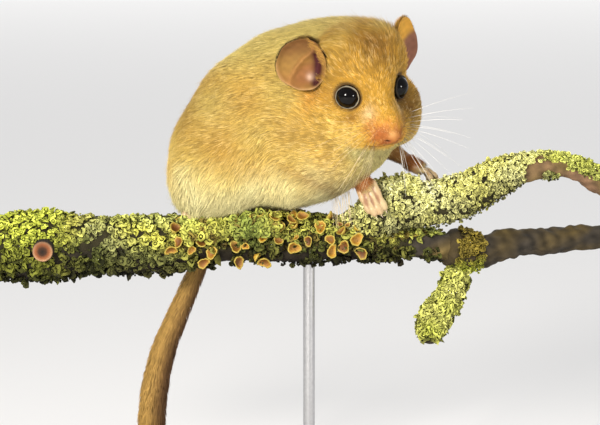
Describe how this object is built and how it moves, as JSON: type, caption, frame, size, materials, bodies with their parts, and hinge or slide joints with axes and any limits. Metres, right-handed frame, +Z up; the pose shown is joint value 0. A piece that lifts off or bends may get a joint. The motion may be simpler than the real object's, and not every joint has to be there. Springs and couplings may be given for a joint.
{
  "type": "hazel dormouse model on branch",
  "caption": "Life-size still model of a hazel dormouse crouched on a lichen-covered branch with its tail hanging, held by a rod on a flat wooden base.",
  "frame": {"origin": "centre of the base's underside, on the floor", "axes": "+Z up, +X along the branch towards the animal's head end, -Y towards the side the animal is looked at from"},
  "size_m": [0.1439, 0.066, 0.1153],
  "materials": {
    "coat": "short soft fur, golden ochre, matt",
    "bare_skin": "thin pink skin, softly satin",
    "eye": "wet, glossy black",
    "lichen": "crusty yellow-green lichen over bark, matt",
    "bark": "dry grey-brown bark, matt",
    "walnut": "oiled walnut, satin",
    "steel": "brushed"
  },
  "bodies": {
    "root": {"head": "coat", "neck": "coat", "torso": "coat", "ear_right": "bare_skin", "ear_left": "bare_skin", "eye_right": "eye", "eye_left": "eye", "foreleg_right": "coat", "foreleg_left": "coat", "hand_right": "bare_skin", "hand_left": "bare_skin", "hindleg_right": "coat", "hindleg_left": "coat", "hindfoot_right": "bare_skin", "hindfoot_left": "bare_skin", "tail_base": "coat", "tail_middle": "coat", "tail_tip": "coat", "perch_stem": "lichen", "perch_upper": "lichen", "perch_lower": "bark", "perch_stub": "lichen", "stand_base": "walnut", "stand_rod": "steel"}
  },
  "joints": []
}
